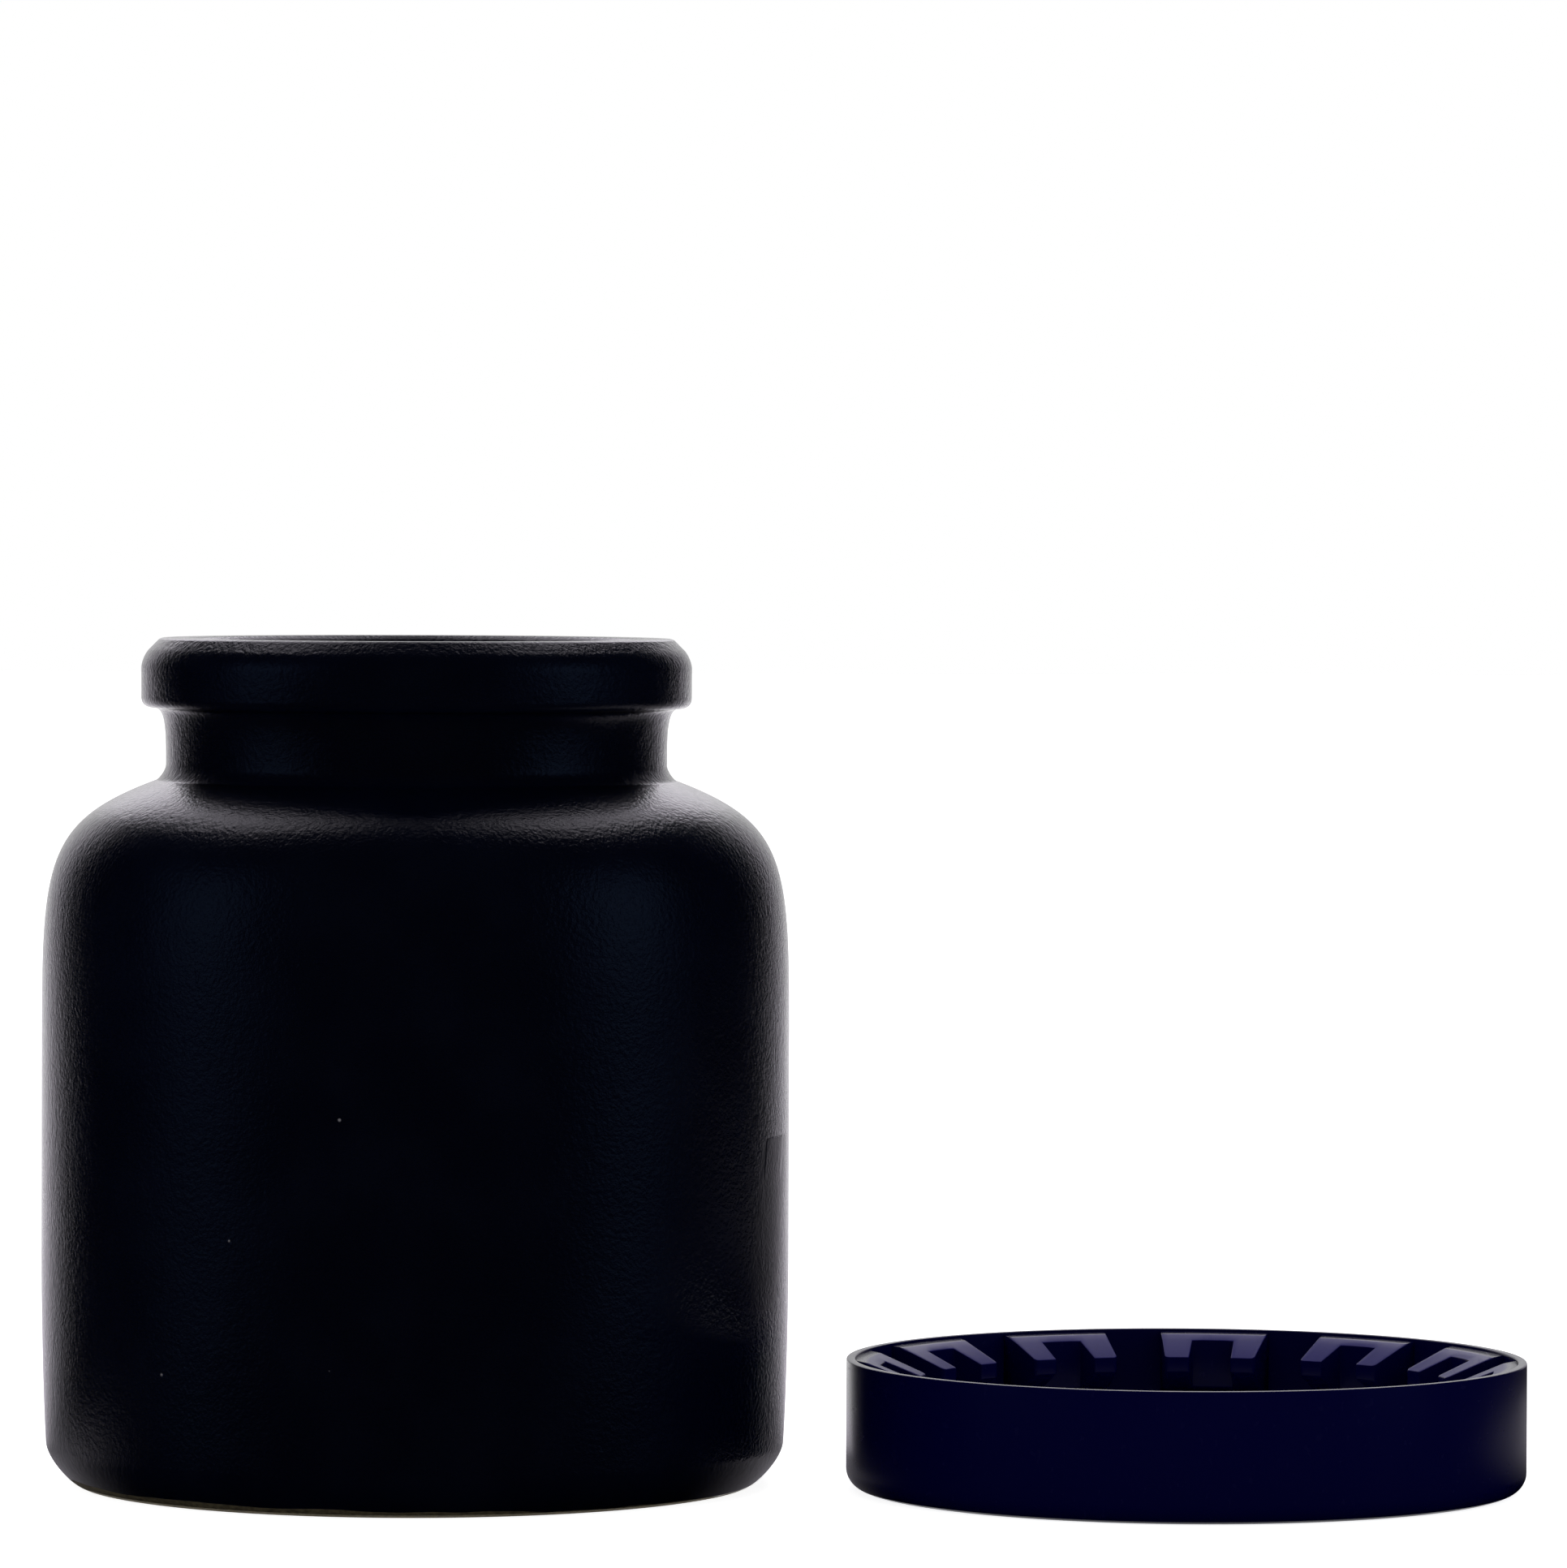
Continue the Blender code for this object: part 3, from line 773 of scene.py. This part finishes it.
# %% The disc's rubber
DISC_COLOUR = (0.80, 0.79, 0.74, 1)
DISC_DULL_COLOUR = (0.75, 0.735, 0.685, 1)
DISC_INDEX = 1.40
DISC_ROUGHNESS = 0.55
DISC_ROUGHNESS_RANGE = 0.15
DISC_CLOUD_SIZE = 0.007
DISC_GRAIN_SIZE = 0.0004
DISC_GRAIN_DEPTH = 0.00001


def disc_finish():
    """The sealing disc's material."""
    material, shader, place = new_material("milky_rubber", IOR=DISC_INDEX)
    clouds = noise(place, DISC_CLOUD_SIZE, detail=3)
    grain = noise(place, DISC_GRAIN_SIZE, detail=3)
    colour = clouds.rise(0.35, 0.75).tint(DISC_COLOUR, DISC_DULL_COLOUR)
    roughness = DISC_ROUGHNESS + (clouds - 0.5) * DISC_ROUGHNESS_RANGE
    dress(shader, colour, roughness, grain * DISC_GRAIN_DEPTH)
    return material


disc_material = disc_finish()
print(disc_material.name, len(disc_material.node_tree.nodes), "nodes")

# %% The disc
DISC_RADIUS = 0.0336
DISC_LOW = 0.0016
DISC_HIGH = 0.0030
DISC_EDGE = 0.0004
RIM_MARK_INNER = 0.0296
RIM_MARK_OUTER = 0.0323
RIM_MARK_DEPTH = 0.00012
RIM_MARK_EASE = 0.0005


def soft_step(radius, level, change, steps=6):
    """Points of a soft step up or down that starts at this radius and level, without the start itself."""
    points = []
    for step in range(1, steps + 1):
        share = (1 - cos(pi * step / steps)) / 2
        points.append((radius + RIM_MARK_EASE * step / steps, level + change * share))
    return points


def disc_outline():
    """From the middle of the disc's upper side round its edge to the middle of its underside."""
    mark = DISC_HIGH - RIM_MARK_DEPTH
    points = [(0, DISC_HIGH), (RIM_MARK_INNER, DISC_HIGH)]
    points += soft_step(RIM_MARK_INNER, DISC_HIGH, -RIM_MARK_DEPTH) + [(RIM_MARK_OUTER, mark)]
    points += soft_step(RIM_MARK_OUTER, mark, RIM_MARK_DEPTH)
    top = (DISC_RADIUS - DISC_EDGE, DISC_HIGH)
    side_high = (DISC_RADIUS, DISC_HIGH - DISC_EDGE)
    side_low = (DISC_RADIUS, DISC_LOW + DISC_EDGE)
    points += [top] + rounded(top, (DISC_RADIUS, DISC_HIGH), side_high, steps=5) + [side_low]
    points += rounded(side_low, (DISC_RADIUS, DISC_LOW), (DISC_RADIUS - DISC_EDGE, DISC_LOW), steps=5)
    return points + [(0, DISC_LOW)]


sealing_disc = turned("sealing_disc", disc_outline(), disc_material, centre=LID_CENTRE, steps_round=192)

# %% [markdown]
# ## Floor and surroundings
#
# The photograph has a pure white ground. White could be had by pouring light on the floor, but that would
# burn out the object too. Instead the floor and the world are fully white only to camera, glossy and
# transmission rays, which the Light Path node tells apart, and the floor still takes the object's shadow.

# %% White ground
FLOOR_HALF_WIDTH = 3.0
FLOOR_FRONT = -0.9
FLOOR_BACK = 6.0
FLOOR_COLOUR = (0.80, 0.80, 0.80, 1)
FLOOR_ROUGHNESS = 0.9
FLOOR_GLOW = 0.90
WORLD_LEVEL = 0.40
BLACK = (0, 0, 0, 1)
WHITE = (1, 1, 1, 1)


def white_ray(tree):
    """1 for rays that show the ground, straight or in gloss or glass, and 0 for those that light things."""
    path = Wire(tree).node("ShaderNodeLightPath")
    total = path + path.other("Is Glossy Ray") + path.other("Is Transmission Ray")
    return total.math("MINIMUM", total, 1)


def stage_sheet(name, corners, faces, material):
    """A sheet that belongs to the stage and not to the object."""
    mesh = bpy.data.meshes.new(name)
    mesh.from_pydata(corners, [], faces)
    mesh.materials.append(material)
    sheet = bpy.data.objects.new(name, mesh)
    scene.collection.objects.link(sheet)
    return sheet


floor_material, floor_shader, _ = new_material(
    "white_floor", Base_Color=FLOOR_COLOUR, Roughness=FLOOR_ROUGHNESS, Emission_Strength=FLOOR_GLOW)
seen = white_ray(floor_material.node_tree)
seen.feed(floor_shader.inputs["Emission Color"], seen.tint(BLACK, WHITE))
floor_corners = [(x, y, 0) for x, y in (
    (-FLOOR_HALF_WIDTH, FLOOR_FRONT), (FLOOR_HALF_WIDTH, FLOOR_FRONT),
    (FLOOR_HALF_WIDTH, FLOOR_BACK), (-FLOOR_HALF_WIDTH, FLOOR_BACK))]
stage_sheet("floor", floor_corners, [(0, 1, 2, 3)], floor_material)

world = bpy.data.worlds.new("white_surroundings")
world.use_nodes = True
scene.world = world
seen = white_ray(world.node_tree)
background = world.node_tree.nodes["Background"]
background.inputs["Color"].default_value = WHITE
seen.feed(background.inputs["Strength"], WORLD_LEVEL + seen * (1 - WORLD_LEVEL))
print("floor glow", FLOOR_GLOW, "world level", WORLD_LEVEL)

# %% [markdown]
# ## A dark tent with a window
#
# The jar's own gloss tells how it was lit: its edges mirror a bright patch low behind it, its shoulder
# mirrors two long lights high behind it, and all that faces the viewer mirrors a dark room. So a black tent
# stands round the object, as flags do in a studio, with a window behind, and a dark sheet covers the floor
# in front and at the sides. Both let a little white through beside the window, so that its edge is soft. The
# sheet is also a little paler in two places: close behind the jar's foot, and in a round patch behind the
# lid, to its right. Only reflections see the tent: the camera looks through it, and it takes no light from
# the object.

# %% The tent
TENT_RADIUS = 1.4
TENT_STEP = radians(5)
WINDOW_HALF_ANGLE = radians(20)
WINDOW_TOP = radians(25)
ANGLE_SLACK = 1e-6
CLOTH_COLOUR = (0.004, 0.004, 0.004, 1)
WHITE_TINT = (0.95, 0.90, 1.0)
EDGE_GLOW = 1.5
EDGE_GLOW_START = radians(13)
EDGE_GLOW_END = radians(40.5)
TOP_GLOW_START = radians(20)
TOP_GLOW_END = radians(32)
SHEET_LEVEL = 0.0004
SHEET_GLOW_SPREAD = 1.15
SHEET_GLOW_EASE = 0.04
GLOW_APEX = -0.05
GLOW_TURN = radians(1)
CARD_PLACE = (0.20, 0.06, 0)
CARD_RADIUS = 0.03
CARD_EASE = 0.07
CARD_SHARE = 0.22
NEAR_RADIUS = 0.07
NEAR_EASE = 0.03
NEAR_SHARE = 0.2


def tent_point(angle, rise):
    """A point of the tent: the angle goes round from straight behind the object, to the left."""
    level = TENT_RADIUS * cos(rise)
    return (-level * sin(angle), level * cos(angle), TENT_RADIUS * sin(rise))


def tent_cloth():
    """Black cloth that glows beside the window, where the white behind it shows through."""
    material, shader, place = new_material("black_cloth", Base_Color=CLOTH_COLOUR, Roughness=1.0,
                                           Specular_IOR_Level=0.0, Emission_Strength=EDGE_GLOW)
    x = place.node("ShaderNodeSeparateXYZ", sockets={0: place})
    y, z = x.other(1), x.other(2)
    angle = x.math("ARCTAN2", x, y - GLOW_APEX)
    angle = angle.math("ABSOLUTE", angle + GLOW_TURN)
    wall = angle.rise(EDGE_GLOW_END, EDGE_GLOW_START)
    wall = wall * z.math("ARCSINE", z / TENT_RADIUS).rise(TOP_GLOW_END, TOP_GLOW_START)
    sheet = (angle / SHEET_GLOW_SPREAD).rise(EDGE_GLOW_END, EDGE_GLOW_START) * y.rise(0.0, SHEET_GLOW_EASE)
    card = place.vector("DISTANCE", place, CARD_PLACE, output="Value")
    sheet = sheet.math("MAXIMUM", sheet, card.rise(CARD_RADIUS + CARD_EASE, CARD_RADIUS) * CARD_SHARE)
    near = place.vector("LENGTH", place, output="Value").rise(NEAR_RADIUS + NEAR_EASE, NEAR_RADIUS)
    sheet = sheet.math("MAXIMUM", sheet, near * NEAR_SHARE * y.rise(-NEAR_EASE, 0.0))
    on_sheet = z.math("LESS_THAN", z, 2 * SHEET_LEVEL)
    glow = wall + (sheet - wall) * on_sheet
    glow.feed(shader.inputs["Emission Color"], glow.tint(BLACK, (*WHITE_TINT, 1)))
    return material


def dark_tent():
    """The tent's walls and roof, and a dark sheet on the floor in front and at the sides."""
    corners, faces = [], []

    def patch(*points):
        faces.append(tuple(range(len(corners), len(corners) + len(points))))
        corners.extend(points)

    for column in range(round(2 * pi / TENT_STEP)):
        here, there = column * TENT_STEP - pi, (column + 1) * TENT_STEP - pi
        behind = max(abs(here), abs(there)) < WINDOW_HALF_ANGLE + ANGLE_SLACK
        for row in range(round(pi / 2 / TENT_STEP)):
            low, high = row * TENT_STEP, (row + 1) * TENT_STEP
            if not behind or low > WINDOW_TOP - ANGLE_SLACK:
                patch(tent_point(here, low), tent_point(there, low),
                      tent_point(there, high), tent_point(here, high))
        if not behind:
            rim = [(x, y, SHEET_LEVEL) for x, y, _ in (tent_point(here, 0), tent_point(there, 0))]
            patch((0, 0, SHEET_LEVEL), *rim)
    return stage_sheet("dark_tent", corners, faces, tent_cloth())


tent = dark_tent()
tent.visible_camera = False
tent.visible_diffuse = False
tent.visible_transmission = False
tent.visible_shadow = False
print("the tent has", len(tent.data.polygons), "panels")

# %% [markdown]
# ## Lamps
#
# Two long strip boxes hang above and run back from the object, left and right of it. They whiten the
# shoulder's top and the lid's lugs, and leave a dark wedge between them.
#
# Two weak blue boxes stand in front at the sides and leave the faint glow that runs down either side of the
# jar's dark front. A lamp's energy is given by how bright it looks, which doesn't change with its size.

# %% Soft boxes
BLUE_TINT = (0.35, 0.55, 1.0)
# A lamp's values are its place, lean, turn, width, length, radiance and tint.
LAMPS = {
    "left_strip": ((-0.210, 0.74, 0.53), radians(-10), radians(2), 0.30, 1.28, 1.6, WHITE_TINT),
    "right_strip": ((0.202, 0.74, 0.53), radians(-10), radians(-2), 0.27, 1.28, 1.7, WHITE_TINT),
    "left_side_box": ((-1.07, -0.43, 0.31), radians(78), radians(-68), 0.5, 0.7, 0.22, BLUE_TINT),
    "right_side_box": ((1.07, -0.43, 0.31), radians(78), radians(68), 0.5, 0.7, 0.26, BLUE_TINT),
}


def soft_box(name, place, lean, turn, width, length, radiance, tint):
    """A lamp that hangs at a place and faces down, then leans up to face backwards and turns to the left."""
    lamp = bpy.data.lights.new(name, "AREA")
    lamp.shape = "RECTANGLE"
    lamp.size = width
    lamp.size_y = length
    lamp.color = tint
    lamp.energy = radiance * pi * width * length
    holder = bpy.data.objects.new(name, lamp)
    holder.location = place
    holder.rotation_euler = (lean, 0, turn)
    scene.collection.objects.link(holder)


for name, values in LAMPS.items():
    soft_box(name, *values)
print("lamps", list(LAMPS))

# %% [markdown]
# ## Tying the pieces to the model
#
# Each piece rides on the body that it belongs to, so the disc and the lugs go where the lid goes. Each also
# says which plain solid it stands for, and which of the record's material slots it fills.

# %% Tie the pieces to the bodies
PIECES = {
    glazed_jar: ("jar", "stoneware_jar", "stoneware"),
    lid_shell: ("lid", "snap_lid", "lid_plastic"),
    lid_lugs: ("lid", "snap_lid", "lid_plastic"),
    sealing_disc: ("lid", "sealing_liner", "liner_rubber"),
}
for piece, (body, node, slot) in PIECES.items():
    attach(piece, body)
    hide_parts(node)
    print(piece.name, "rides on", body, "and stands for", node)
